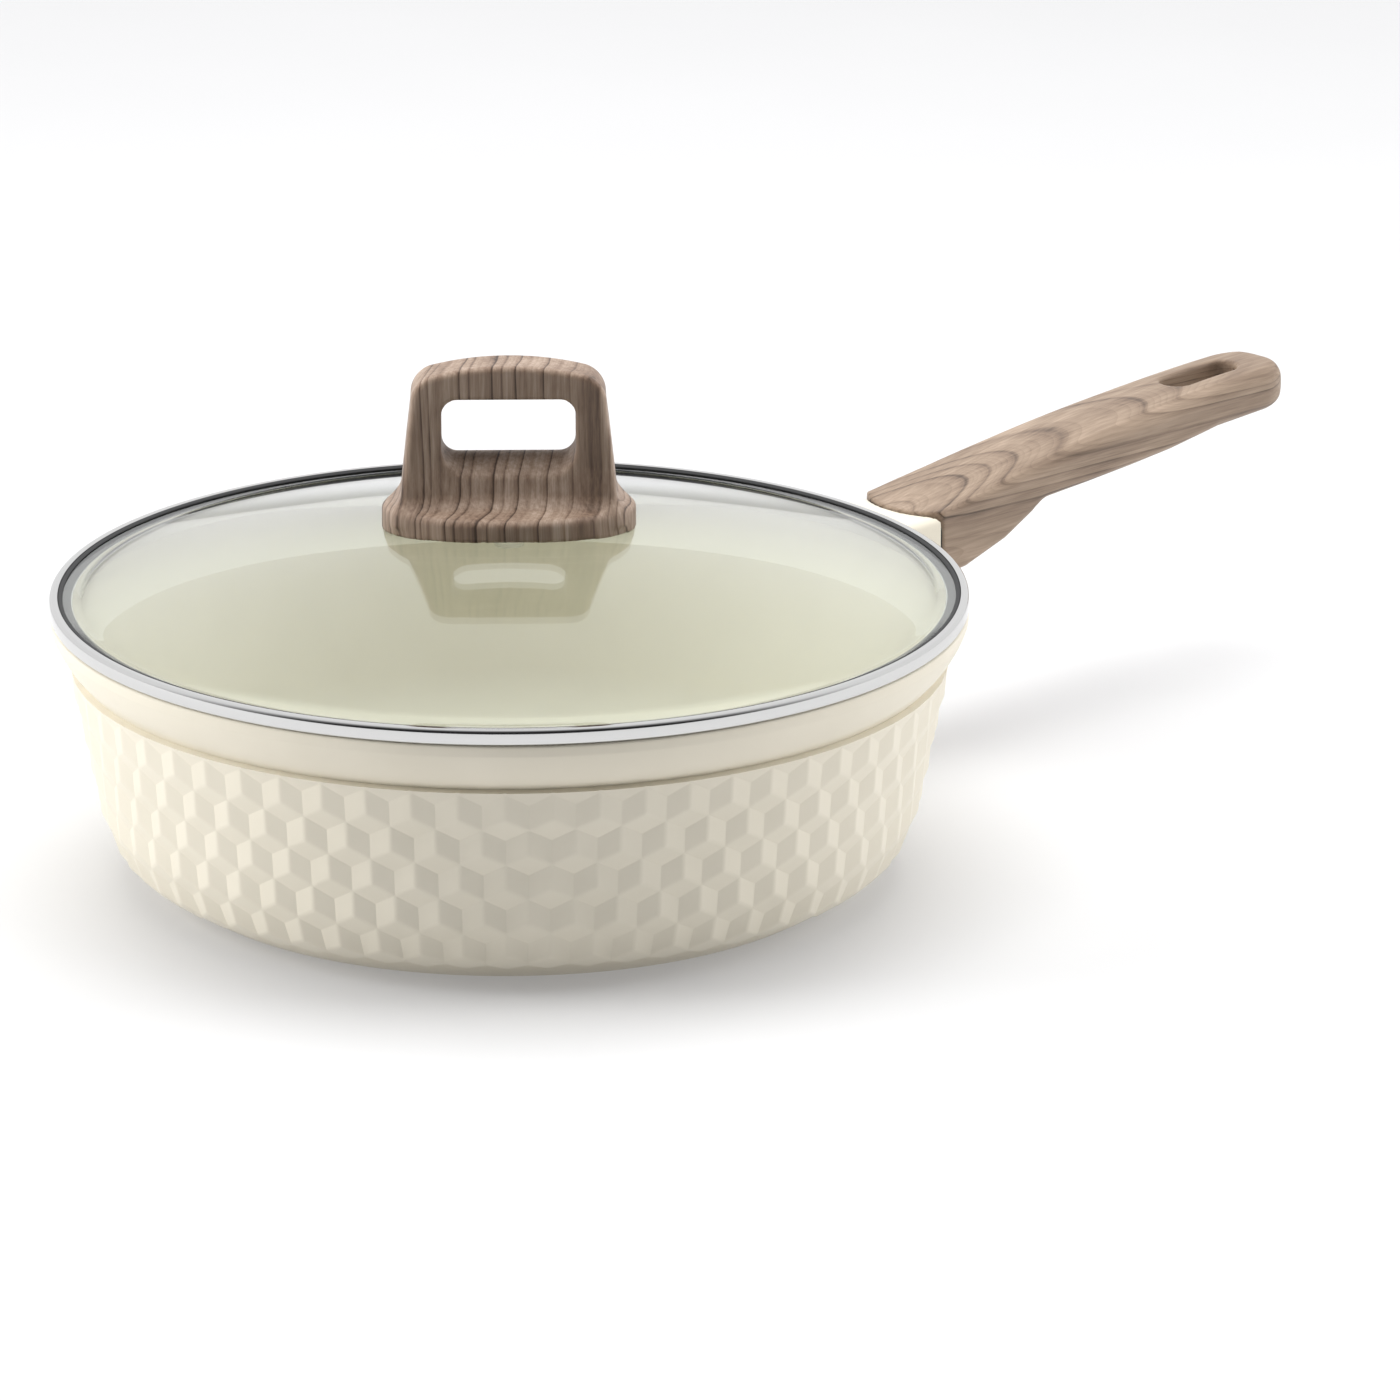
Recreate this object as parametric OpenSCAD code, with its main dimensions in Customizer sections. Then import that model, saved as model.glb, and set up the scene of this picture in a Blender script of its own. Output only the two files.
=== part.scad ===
// Saucepan with glass lid: a deep cast aluminium pan with one long moulded handle,
// and a domed glass lid in a steel band with an arch handle.
// Millimetres, +Z up. The origin is the centre of the pan's underside, and the
// long handle points along +X.

/* [Pan] */
// Radius of the lip
lip_r = 142; // [138:1:146]
// Height of the lip above the table
pan_h = 85; // [82:1:88]
// Thickness of the cast wall
wall_t = 4; // [3.4:0.1:4.4]
// Thickness of the floor
floor_t = 6; // [5:0.5:8]
// Lean of the wall from the vertical, in degrees
wall_lean = 11.5; // [10:0.5:13]
// Outside radius of the curve from the base into the wall
belly_r = 38; // [36:1:40]
// Height at which that curve runs into the straight wall
belly_top = 26; // [24:1:27]
// Inside radius of the corner between floor and wall
corner_r = 24; // [20:1:25]
// Height of the smooth collar under the lip
collar_h = 16; // [15:1:17]
// Radius of the collar's convex outside
collar_bow_r = 26; // [24:1:30]
// Radius of the steel plate in the base
plate_r = 92; // [80:1:96]
// Thickness of that plate
plate_t = 1.2; // [0.8:0.1:1.6]

/* [Long handle] */
// Width of the lug and of the handle's root
root_w = 35; // [33:0.5:36]
// Distance from the pan's axis to the joint between lug and handle
joint_x = 168; // [166:1:170]
// Radius of the rounded joint, seen from above
joint_r = 28.5; // [27:0.5:32]
// Distance from the pan's axis to the tip
tip_x = 346; // [340:1:350]
// Width of the handle near its tip
tip_w = 29; // [28:0.5:31]
// Height of the handle's top at the joint
root_top = 80.5; // [80:0.5:82]
// Height of the handle's top at the tip
tip_top = 97.6; // [96:0.2:100]
// Radius of the top's long curve, seen from the side
top_bow_r = 950; // [700:10:1100]
// Length of the hanging slot
slot_l = 32; // [28:1:34]
// Width of the hanging slot
slot_w = 11.2; // [10:0.2:12]

/* [Handle screw] */
// Nominal diameter of the long screw
screw_d = 6; // [5:1:6]
// Length of the long screw under its head
screw_l = 110; // [108:1:112]
// Rise of the screw's axis, in degrees
screw_rise = 7; // [6.5:0.5:7]

/* [Lid] */
// Height of the glass at its centre, above the table
dome_top = 113.2; // [111:0.2:115]
// Radius of the round crown in the middle of the glass
crown_r = 235; // [200:5:300]
// Thickness of the glass
glass_t = 3.5; // [3:0.1:3.6]
// Height of the steel band round the glass
band_h = 5.1; // [5:0.1:5.6]
// Thickness of the band's sheet
band_t = 0.5; // [0.4:0.1:0.6]
// Depth of the band's skirt that centres the lid in the pan
skirt_h = 3.7; // [3:0.1:4]

/* [Lid handle] */
// Turn of the lid from the long handle, in degrees
lid_turn = -43.3; // [-180:0.1:180]
// Length of the oval foot
foot_l = 78.4; // [76:0.2:82]
// Width of the oval foot
foot_w = 49; // [46:0.5:52]
// Height of the foot's edge above the glass
foot_h = 5.2; // [4.6:0.2:7]
// Height of the arch's top above the centre of the glass
arch_h = 50.2; // [49:0.2:54]
// Width of the arch at the top of the finger gap
arch_w = 60; // [58:0.5:63]
// Width of the finger gap
gap_w = 41.3; // [38:0.1:43]
// Height of the finger gap
gap_h = 18.4; // [17:0.1:21]

/* [Hidden] */

$fn = 96;
fine = 240;          // facets on the pan-sized rounds
slack = 0.05;        // clearance between fitted pieces
past = 1;            // how far a cut runs past a face

cream = "#efe9da";
wood = "#97816f";
steel = "#c9cacc";

// Pan sections
collar_z = pan_h - collar_h;
collar_flare = 8.8;                                  // from the wall's top out to the lip
wall_top_r = lip_r - collar_flare;
collar_step = 0.3;                                   // the collar stands proud of the wall
lip_round = 0.8;
lip_wall = 4.6;                                      // width of the flat lip
lip_in_r = lip_r - lip_wall;
function wall_r(z) = wall_top_r - (collar_z - z) * tan(wall_lean);
function inside_r(z) = wall_r(z) - wall_t / cos(wall_lean);
belly_c = [wall_r(belly_top) - belly_r * cos(wall_lean), belly_top + belly_r * sin(wall_lean)];
corner_z = floor_t + corner_r;
corner_c = [inside_r(corner_z) - corner_r / cos(wall_lean), corner_z];

// Points on an arc about c, from angle a0 to a1
function arc(c, r, a0, a1, n = 8) =
    [for (i = [0:n]) let (a = a0 + (a1 - a0) * i / n) c + r * [cos(a), sin(a)]];
// Points on an arc of radius r from p to q, bulging to the right of that line
function bow(p, q, r, n = 8) =
    let (d = q - p, l = norm(d), c = (p + q) / 2 + sqrt(r * r - l * l / 4) * [-d[1], d[0]] / l,
         a0 = atan2(p[1] - c[1], p[0] - c[0]), a1 = atan2(q[1] - c[1], q[0] - c[0]))
    arc(c, r, a0, a1 < a0 ? a1 + 360 : a1, n);
// Points on an ellipse with half axes a and b
function ellipse(a, b, n = 72) = [for (i = [0:n - 1]) [a * cos(360 * i / n), b * sin(360 * i / n)]];

// Lug and joint
lug_top = 80;
lug_bottom = 58.5;
lug_in_x = 122;                                      // the lug starts inside the wall
lug_flare_x = joint_x - 10;                          // the lug widens from here to the pan
lug_flare_r = 20;
gasket_t = 0.8;
joint_c = joint_x + gasket_t + joint_r;              // centre of the rounded joint
slot_end_gap = 17.4;                                 // from the slot to the tip
slot_x = tip_x - slot_end_gap - slot_l / 2;          // middle of the slot

// Long screw, in millimetres along its own axis from the joint
screw_z = 73.5;                                      // height of the axis at the joint
insert_l = 13.2;
insert_r = 5;
insert_sink = 0.8;                                   // the insert sits below the lug's face
insert_bottom = -insert_sink - insert_l;
screw_end = insert_bottom + slack;
washer_t = 1.2;
spring_t = 1.6;
head_h = 6;
head_r = 5;
seat_s = screw_end + screw_l - washer_t - spring_t;  // seat of the washer in the handle
counterbore_r = head_r + 0.6;
counterbore_end = 137;

// Lid sections
band_r = lip_r + 0.2;
band_top = pan_h + band_h;
skirt_r = lip_in_r - 2.2;                            // the lid's play inside the pan
seal_t = (band_h - 2 * band_t - glass_t) / 2;
glass_r = band_r - band_t - 0.6;
flange_z = pan_h + band_t + seal_t;                  // underside of the glass at its edge
flange_top = flange_z + glass_t;
dome_r = lip_r - 8;                                  // where the dome meets the flat edge
dome_rise = dome_top - flange_top;
crown_b = sqrt(pow(crown_r * dome_rise, 2)           // how soon the round crown straightens out
    / (dome_r * dome_r - 2 * crown_r * dome_rise));
glass_hole_r = 5;
edge_round = 1.2;

// Lid fastener, heights above the table
lid_screw_r = 2.5;
pad_r = 12;
pad_top = dome_top + 1.2;
lid_insert_l = 12;
lid_insert_r = 4.5;
grommet_bottom = dome_top - glass_t - 1.6;
lid_washer_t = 1;
lid_spring_t = 1.3;
lid_head_h = 3.2;
lid_head_r = 4.6;
lid_head_top = grommet_bottom - lid_washer_t - lid_spring_t;

// Lid handle, heights above the centre of the glass
gap_floor = 21.4;
gap_round = 5;
gap_fall = 5.2;                                      // how far the gap's floor falls to each face
arch_round = 9;
arch_bow_r = 97;                                     // long curve of the arch's top
arch_edge = 1.6;
foot_top = foot_h + 0.6;

// The solid shape of the pan before it is hollowed
module pan_outside() {
    rotate_extrude($fn = fine)
        polygon(concat(
            [[0, 0]],
            arc(belly_c, belly_r, -asin(belly_c[1] / belly_r), -wall_lean, 12),
            [[wall_top_r, collar_z], [wall_top_r + collar_step, collar_z]],
            bow([wall_top_r + collar_step, collar_z + 0.3], [lip_r, pan_h - 3], collar_bow_r),
            arc([lip_r - lip_round, pan_h - lip_round], lip_round, 0, 90, 4),
            [[0, pan_h]]));
}

// The space inside the pan, open at the top
module pan_inside() {
    collar_in = collar_z - 1;
    rotate_extrude($fn = fine)
        polygon(concat(
            [[0, floor_t]],
            arc(corner_c, corner_r, -90, -wall_lean, 12),
            bow([inside_r(collar_in), collar_in], [lip_in_r, pan_h - 4.5], collar_bow_r),
            [[lip_in_r, pan_h + past], [0, pan_h + past]]));
}

// Rounded rectangle w by h, centred, with corner radius r
module rounded(w, h, r) {
    polygon(concat(
        arc([w / 2 - r, h / 2 - r], r, 0, 90, 6),
        arc([r - w / 2, h / 2 - r], r, 90, 180, 6),
        arc([r - w / 2, r - h / 2], r, 180, 270, 6),
        arc([w / 2 - r, r - h / 2], r, 270, 360, 6)));
}

// Lays a shape drawn in the Y-Z plane along X, from x0 to x1
module along_x(x0, x1) {
    translate([x0, 0, 0]) rotate([90, 0, 90]) linear_extrude(x1 - x0) children();
}

// The lug's section, smaller by inset on every side
module lug_section(inset = 0) {
    translate([0, (lug_top + lug_bottom) / 2])
        rounded(root_w - 2 * inset, lug_top - lug_bottom - 2 * inset, 4.5);
}

// Cast lug with its webs, before the joint is cut
module lug() {
    along_x(lug_in_x, joint_x + 8) lug_section();
    for (side = [-1, 1])
        translate([0, 0, lug_bottom + 4]) linear_extrude(lug_top - lug_bottom - 6)
            polygon([for (p = concat(
                arc([lug_flare_x, root_w / 2 + lug_flare_r], lug_flare_r, 270, 205),
                [[lug_in_x, root_w / 2 + lug_flare_r / 2], [lug_in_x, 0], [lug_flare_x, 0]]))
                [p[0], side * p[1]]]);
}

// Puts its children on the long screw's axis, +Z towards the tip
module on_screw_axis() {
    translate([joint_x, 0, screw_z]) rotate([0, 90 - screw_rise, 0]) children();
}

// Upright round block about the rounded joint's centre
module joint_round(r) {
    translate([joint_c, 0, lug_bottom - 10]) cylinder(r = r, h = 60, $fn = fine);
}

module ring(r_out, r_in, h) {
    difference() {
        cylinder(r = r_out, h = h);
        translate([0, 0, -past]) cylinder(r = r_in, h = h + 2 * past);
    }
}

// Split spring washer, pressed flat
module split_ring(r_out, r_in, h) {
    difference() {
        ring(r_out, r_in, h);
        translate([r_in - past, -0.5, -past]) cube([r_out, 1, h + 2 * past]);
    }
}

module pan_body() {
    color(cream) difference() {
        union() {
            pan_outside();
            lug();
        }
        pan_inside();
        joint_round(joint_r + gasket_t);
        translate([0, 0, -past]) cylinder(r = plate_r, h = plate_t + past, $fn = fine);
        on_screw_axis() translate([0, 0, insert_bottom]) cylinder(r = insert_r, h = 30);
    }
}

// Perforated steel plate pressed into the base, for induction hobs
module induction_plate() {
    hole_r = 3;
    color(steel) difference() {
        cylinder(r = plate_r, h = plate_t, $fn = fine);
        for (row = [1:4], i = [0:9 * row - 1])
            rotate(360 * (i + row / 2) / (9 * row))
                translate([row * plate_r / 4.7, 0, -past])
                    cylinder(r = hole_r, h = plate_t + 2 * past, $fn = 24);
    }
}

// Heat-resistant gasket in the joint between lug and handle
module handle_gasket() {
    color("#2b2724") difference() {
        intersection() {
            along_x(joint_x - past, joint_c - joint_r / 2) lug_section(0.5);
            joint_round(joint_r + gasket_t);
        }
        joint_round(joint_r);
        on_screw_axis() translate([0, 0, -5]) cylinder(r = insert_r, h = 30);
    }
}

// The handle seen from the side: underside, tip, then the long curve of the top
module handle_outline_side() {
    tip_round = 7.2;
    polygon(concat(
        [[joint_x, lug_bottom], [186, 60.8], [205, 66.6], [218, 72.6]],
        arc([226.5, 67.5], 8.8, 130, 94, 3),
        [[265, 78.2], [308, 82.6]],
        arc([tip_x - tip_round, tip_top - tip_round], tip_round, -75, 85, 8),
        bow([tip_x - 8, tip_top], [joint_x, root_top], top_bow_r, 14)));
}

// Moulded handle with its hanging slot and the bore of the long screw
module long_handle() {
    tip_r = tip_w / 2;
    root_r = root_w / 2;
    color(wood) difference() {
        intersection() {
            translate([0, root_w, 0]) rotate([90, 0, 0]) linear_extrude(2 * root_w)
                handle_outline_side();
            translate([0, 0, lug_bottom - 10]) union() {
                linear_extrude(60) polygon([[joint_x, -root_r], [joint_x + 16, -root_r],
                    [tip_x - tip_r, -tip_r], [tip_x - tip_r, tip_r],
                    [joint_x + 16, root_r], [joint_x, root_r]]);
                translate([tip_x - tip_r, 0, 0]) cylinder(r = tip_r, h = 60);
            }
        }
        difference() {
            translate([joint_x - 20, -root_w, lug_bottom - 20])
                cube([joint_c - joint_x + 20, 2 * root_w, 80]);
            joint_round(joint_r);
        }
        translate([slot_x, 0, 60]) {
            reach = slot_l / 2 - slot_w / 2;
            for (end = [-reach, reach]) translate([end, 0, 0]) cylinder(d = slot_w, h = 50);
            translate([-reach, -slot_w / 2, 0]) cube([2 * reach, slot_w, 50]);
        }
        on_screw_axis() {
            translate([0, 0, -10]) cylinder(r = screw_d / 2 + 0.3, h = seat_s + 20);
            translate([0, 0, seat_s]) cylinder(r = counterbore_r, h = counterbore_end - seat_s);
        }
    }
}

// Steel thread insert cast into the lug
module lug_thread_insert() {
    color(steel) on_screw_axis() translate([0, 0, insert_bottom])
        ring(insert_r, screw_d / 2, insert_l);
}

module handle_washer() {
    color(steel) on_screw_axis() translate([0, 0, seat_s])
        ring(head_r + 0.3, screw_d / 2 + 0.2, washer_t);
}

module handle_spring_washer() {
    color(steel) on_screw_axis() translate([0, 0, seat_s + washer_t])
        split_ring(head_r - 0.2, screw_d / 2 + 0.1, spring_t);
}

// Long socket-head screw, reached through the hanging slot
module handle_screw() {
    socket_d = 5.8;
    color(steel) on_screw_axis() {
        translate([0, 0, screw_end]) cylinder(r = screw_d / 2 - slack, h = screw_l + past);
        translate([0, 0, screw_end + screw_l]) difference() {
            cylinder(r = head_r, h = head_h);
            translate([0, 0, head_h / 2]) cylinder(d = socket_d, h = head_h, $fn = 6);
        }
    }
}

// Rolled stainless band: outer wall, two flanges over the glass, and the skirt
module lid_rim_band() {
    lip = 2.6;
    bend = 1.4;
    color(steel) rotate_extrude($fn = fine)
        polygon(concat(
            [[skirt_r - band_t, pan_h - skirt_h], [skirt_r, pan_h - skirt_h], [skirt_r, pan_h]],
            arc([band_r - bend / 2, pan_h + bend / 2], bend / 2, -90, 0, 4),
            arc([band_r - bend, band_top - bend], bend, 0, 90, 6),
            [[band_r - lip, band_top], [band_r - lip, band_top - band_t]],
            arc([band_r - bend, band_top - bend], bend - band_t, 90, 0, 6),
            [[band_r - band_t, pan_h + band_t], [skirt_r - band_t, pan_h + band_t]]));
}

// Silicone seal that wraps the edge of the glass inside the band
module lid_rim_seal() {
    lip_in = 5;
    inner = band_r - band_t - slack;
    color("#3c3d3e") rotate_extrude($fn = fine)
        polygon([
            [band_r - lip_in, flange_top], [band_r - lip_in, flange_top + seal_t + 0.4],
            [band_r - 2.6 - slack, flange_top + seal_t + 0.4],
            [band_r - 2.6 - slack, flange_top + seal_t],
            [inner - 1.1, flange_top + seal_t], [inner, flange_top + seal_t - 1],
            [inner, flange_z - seal_t + 0.2], [inner - 0.2, flange_z - seal_t],
            [skirt_r, flange_z - seal_t], [skirt_r, flange_z], [glass_r - edge_round, flange_z],
            [glass_r, flange_z + edge_round], [glass_r, flange_top - edge_round],
            [glass_r - edge_round, flange_top]]);
}

// Height of the glass's top face at radius r: a round crown that straightens towards the edge
function dome_z(r) = dome_top - crown_b * crown_b / crown_r * (sqrt(1 + pow(r / crown_b, 2)) - 1);
// Height of its underside
function under_z(r) =
    let (slope = r / crown_r / sqrt(1 + pow(r / crown_b, 2)))
    dome_z(r) - glass_t * sqrt(1 + slope * slope);

// Domed tempered glass with a flat edge and a centre hole
module lid_glass() {
    steps = 22;
    under_r = dome_r - 0.4;
    color("#dfe8e2", 0.35) rotate_extrude($fn = fine)
        polygon(concat(
            [for (i = [steps:-1:0]) let (r = glass_hole_r + (under_r - glass_hole_r) * i / steps)
                [r, max(under_z(r), flange_z)]],
            [for (i = [0:steps]) let (r = glass_hole_r + (dome_r - glass_hole_r) * i / steps)
                [r, dome_z(r)]],
            [[glass_r - edge_round, flange_top], [glass_r, flange_top - edge_round],
             [glass_r, flange_z + edge_round], [glass_r - edge_round, flange_z]]));
}

// The space under the dome's outer face out to radius r, for shaping what rests on it
module under_dome(r) {
    steps = 10;
    rotate_extrude($fn = fine)
        polygon(concat([[0, dome_top - 20], [r, dome_top - 20]],
                       [for (i = [steps:-1:0]) [r * i / steps, dome_z(r * i / steps)]]));
}

// Oval slab of the lid handle's foot, smaller by inset
module foot_slab(inset, z0, z1) {
    translate([0, 0, dome_top + z0]) linear_extrude(z1 - z0)
        polygon(ellipse(foot_l / 2 - inset, foot_w / 2 - inset));
}

// The arch seen from the front, with the finger gap left out
module arch_front() {
    side = arch_w / 2;
    corner = [side - 0.4 - arch_round, arch_h - 2.6 - arch_round];
    bow_end = corner + arch_round * [cos(72), sin(72)];
    difference() {
        polygon(concat(
            [[side + 3.6, foot_h - 2], [side + 2.8, 14], [side, corner[1] - 1]],
            arc(corner, arch_round, 0, 72),
            bow(bow_end, [-bow_end[0], bow_end[1]], arch_bow_r, 12),
            arc([-corner[0], corner[1]], arch_round, 108, 180),
            [[-side, corner[1] - 1], [-side - 2.8, 14], [-side - 3.6, foot_h - 2]]));
        translate([0, gap_floor + gap_h / 2]) rounded(gap_w, gap_h, gap_round);
    }
}

// Wedges that let the gap's floor fall away towards both faces
module gap_slopes() {
    for (side = [-1, 1])
        rotate([90, 0, 90]) translate([0, 0, -gap_w / 2 + 2]) linear_extrude(gap_w - 4)
            polygon([[side * 2.5, gap_floor + 1], [side * 2.5, gap_floor - 0.3],
                     [side * 9.5, gap_floor - gap_fall], [side * 20, gap_floor - gap_fall],
                     [side * 20, gap_floor + 1]]);
}

// Half the arch's outline seen from the end
arch_end = concat([[14.5, foot_h - 2], [12.5, foot_h + 2.5], [11, 9.7], [9.8, 16.2], [9, 27]],
                  arc([7.6 - arch_edge, arch_h - arch_edge], arch_edge, 0, 90, 4));

module arch() {
    intersection() {
        rotate([90, 0, 0]) translate([0, 0, -foot_w]) linear_extrude(2 * foot_w) arch_front();
        rotate([90, 0, 90]) translate([0, 0, -foot_l]) linear_extrude(2 * foot_l)
            polygon(concat(arch_end, [for (i = [len(arch_end) - 1:-1:0])
                [-arch_end[i][0], arch_end[i][1]]]));
    }
}

// Moulded arch handle on an oval foot that follows the dome
module lid_handle() {
    color(wood) rotate(lid_turn) difference() {
        union() {
            foot_slab(0, -3, foot_h - 0.9);
            foot_slab(0.8, foot_h - 1, foot_h);
            foot_slab(3, foot_h - past, foot_top);
            foot_slab(8.5, foot_h - past, foot_top + 1.4);
            translate([0, 0, dome_top]) difference() {
                arch();
                gap_slopes();
            }
        }
        under_dome(foot_l / 2 + past);
        translate([0, 0, dome_top - 2]) cylinder(r = pad_r, h = pad_top - dome_top + 2);
        translate([0, 0, dome_top]) cylinder(r = lid_insert_r, h = pad_top - dome_top + lid_insert_l);
    }
}

// Brass thread insert moulded into the lid handle
module lid_handle_insert() {
    blind = 1.5;
    color("#b9974f") translate([0, 0, pad_top]) difference() {
        cylinder(r = lid_insert_r, h = lid_insert_l);
        translate([0, 0, -past]) cylinder(r = lid_screw_r + slack, h = lid_insert_l - blind + past);
    }
}

// Silicone pad between the foot and the glass
module lid_handle_pad() {
    hole_r = lid_screw_r + 0.2;
    color("#6b6a66") rotate_extrude()
        polygon([[hole_r, dome_z(hole_r) + slack], [pad_r, dome_z(pad_r) + slack],
                 [pad_r, pad_top], [hole_r, pad_top]]);
}

// Silicone grommet: a sleeve through the glass with a flange underneath
module lid_grommet() {
    flange_r = 10;
    hole_r = lid_screw_r + 0.2;
    sleeve_r = glass_hole_r - slack;
    color("#6b6a66") rotate_extrude()
        polygon([[hole_r, grommet_bottom], [flange_r, grommet_bottom],
                 [flange_r, under_z(flange_r) - slack], [sleeve_r, under_z(sleeve_r) - slack],
                 [sleeve_r, dome_z(sleeve_r) - slack], [hole_r, dome_z(sleeve_r) - slack]]);
}

module lid_washer() {
    color(steel) translate([0, 0, grommet_bottom - lid_washer_t])
        ring(9, lid_screw_r + 0.2, lid_washer_t);
}

module lid_spring_washer() {
    color(steel) translate([0, 0, lid_head_top])
        split_ring(lid_head_r, lid_screw_r + 0.2, lid_spring_t);
}

// Pan-head screw that clamps the handle through the glass from below
module lid_screw() {
    slot = 1.2;
    shank_l = pad_top + lid_insert_l - 2.5 - lid_head_top;
    color(steel) translate([0, 0, lid_head_top]) {
        translate([0, 0, -past]) cylinder(r = lid_screw_r, h = shank_l + past);
        difference() {
            translate([0, 0, -lid_head_h]) cylinder(r = lid_head_r, h = lid_head_h);
            for (turn = [0, 90])
                rotate(turn) translate([-2.6, -slot / 2, -lid_head_h - past])
                    cube([5.2, slot, past + 1.8]);
        }
    }
}

pan_body();
induction_plate();
handle_gasket();
long_handle();
lug_thread_insert();
handle_washer();
handle_spring_washer();
handle_screw();
lid_rim_band();
lid_rim_seal();
lid_glass();
lid_handle();
lid_handle_insert();
lid_handle_pad();
lid_grommet();
lid_washer();
lid_spring_washer();
lid_screw();
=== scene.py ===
from math import asin, atan2, cos, pi, radians, sin, sqrt, tan

import bmesh
import bpy
import numpy as np
from mathutils import Matrix, Vector


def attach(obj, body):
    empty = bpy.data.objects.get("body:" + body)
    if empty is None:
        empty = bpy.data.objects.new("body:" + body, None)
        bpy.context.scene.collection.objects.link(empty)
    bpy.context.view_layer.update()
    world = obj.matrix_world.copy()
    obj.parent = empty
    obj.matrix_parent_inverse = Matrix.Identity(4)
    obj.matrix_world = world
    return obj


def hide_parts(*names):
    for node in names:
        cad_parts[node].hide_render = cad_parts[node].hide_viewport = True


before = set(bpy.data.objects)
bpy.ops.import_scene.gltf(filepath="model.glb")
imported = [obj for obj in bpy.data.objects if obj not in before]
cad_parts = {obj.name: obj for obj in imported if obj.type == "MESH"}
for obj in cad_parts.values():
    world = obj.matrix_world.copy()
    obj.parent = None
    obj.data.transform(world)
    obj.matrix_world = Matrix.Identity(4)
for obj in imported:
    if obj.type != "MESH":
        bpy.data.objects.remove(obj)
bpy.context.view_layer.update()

# Lengths are in millimetres until a mesh is made
MM = 0.001
LIP_R, PAN_H, COLLAR_Z, WALL_R = 142.0, 85.0, 69.0, 133.2
LEAN, BELLY_R, BELLY_TOP = radians(11.5), 38.0, 26.0
WALL_RUN = (COLLAR_Z - BELLY_TOP) / cos(LEAN)          # straight part of the wall, down its slope
BELLY_C = (WALL_R - (COLLAR_Z - BELLY_TOP) * tan(LEAN) - BELLY_R * cos(LEAN),
           BELLY_TOP + BELLY_R * sin(LEAN))
VIEW_TURN = radians(43.3)                               # the camera stands this far round the pan
LID_TURN = -VIEW_TURN
DOME_TOP, GLASS_T, DOME_R, FLANGE_TOP, CROWN_R = 113.2, 3.5, 134.0, 89.3, 235.0
DOME_RISE = DOME_TOP - FLANGE_TOP
CROWN_B = CROWN_R * DOME_RISE / sqrt(DOME_R**2 - 2 * CROWN_R * DOME_RISE)
JOINT_C, JOINT_R = 197.3, 28.5                          # axis and radius of the upright joint by the lug
WALL_T, SHELL_T = 4, 2.8
SLOT_X, SLOT_RUN, SLOT_R = 312.6, 10.4, 5.6             # hanging slot: centre, half its straight run
GAP_X, GAP_Z, GAP_RISE = 20.65, 143.75, 9.15            # finger gap: half width, centre, half height
FOOT_X, FOOT_Y = 39.2, 24.5                             # half axes of the lid handle's oval foot
MATH, VMATH = "ShaderNodeMath", "ShaderNodeVectorMath"


# ---------------------------------------------------------------- small tools

def add(tree, kind, ins=(), out=0, **settings):
    """Adds a node. ins maps its inputs to values or to other nodes' outputs.

    Gives back the output named by out, or the node itself where out is None.
    """
    node = tree.nodes.new(kind)
    for key, value in settings.items():
        setattr(node, key, value)
    for key, value in dict(ins).items():
        if isinstance(value, bpy.types.NodeSocket):
            tree.links.new(value, node.inputs[key])
        else:
            node.inputs[key].default_value = value
    return node if out is None else node.outputs[out]


def lin(code):
    """sRGB hex to the linear colour a shader takes"""
    parts = [int(code[i:i + 2], 16) / 255 for i in (1, 3, 5)]
    return (*[c / 12.92 if c <= 0.04045 else ((c + 0.055) / 1.055)**2.4 for c in parts], 1.0)


def arc(c, r, a0, a1, n=8):
    """Points on an arc about c, angles in degrees"""
    return [(c[0] + r * cos(radians(a0 + (a1 - a0) * i / n)),
             c[1] + r * sin(radians(a0 + (a1 - a0) * i / n))) for i in range(n + 1)]


def bow(p, q, r, n=8):
    """Points from p to q on an arc of radius r that bulges to the right of that line"""
    d, m = Vector(q) - Vector(p), (Vector(p) + Vector(q)) / 2
    c = m + sqrt(r * r - d.length_squared / 4) * Vector((-d.y, d.x)) / d.length
    a0, a1 = (atan2(e[1] - c.y, e[0] - c.x) for e in (p, q))
    return arc(c, r, a0 * 180 / pi, (a1 if a1 >= a0 else a1 + 2 * pi) * 180 / pi, n)


def shell(name, points, faces, crease=35):
    """An object from points in millimetres, smooth except where it turns by more than crease degrees"""
    mesh = bpy.data.meshes.new(name)
    mesh.from_pydata((np.asarray(points, float) * MM).tolist(), [], faces)
    mesh.update()
    mesh.shade_smooth()
    mesh.set_sharp_from_angle(angle=radians(crease))
    ob = bpy.data.objects.new(name, mesh)
    bpy.context.scene.collection.objects.link(ob)
    return ob


def turned(name, outline, n=256, crease=35):
    """A round piece: the outline of its section, (r, z) anticlockwise, is turned about the pan's axis"""
    angles = np.linspace(0, 2 * pi, n, endpoint=False)
    points, rings, faces = [], [], []
    for r, z in outline:
        if r < 1e-6:
            rings.append([len(points)] * n)
            points.append((0, 0, z))
        else:
            rings.append(list(range(len(points), len(points) + n)))
            points += [(r * cos(a), r * sin(a), z) for a in angles]
    for low, high in zip(rings, rings[1:] + rings[:1]):
        if low[0] == low[1] and high[0] == high[1]:
            continue
        for j in range(n):
            k = (j + 1) % n
            face = [low[j], low[k], high[k], high[j]]
            faces.append(list(dict.fromkeys(face)))
    return shell(name, points, faces, crease)


def finished(ob, body, material, slot, *nodes):
    """Gives a finished piece its material and its body, and hides the CAD nodes that it stands for"""
    ob.data.materials.clear()
    ob.data.materials.append(material)
    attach(ob, body)
    if nodes:
        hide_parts(*nodes)
    return ob


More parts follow.
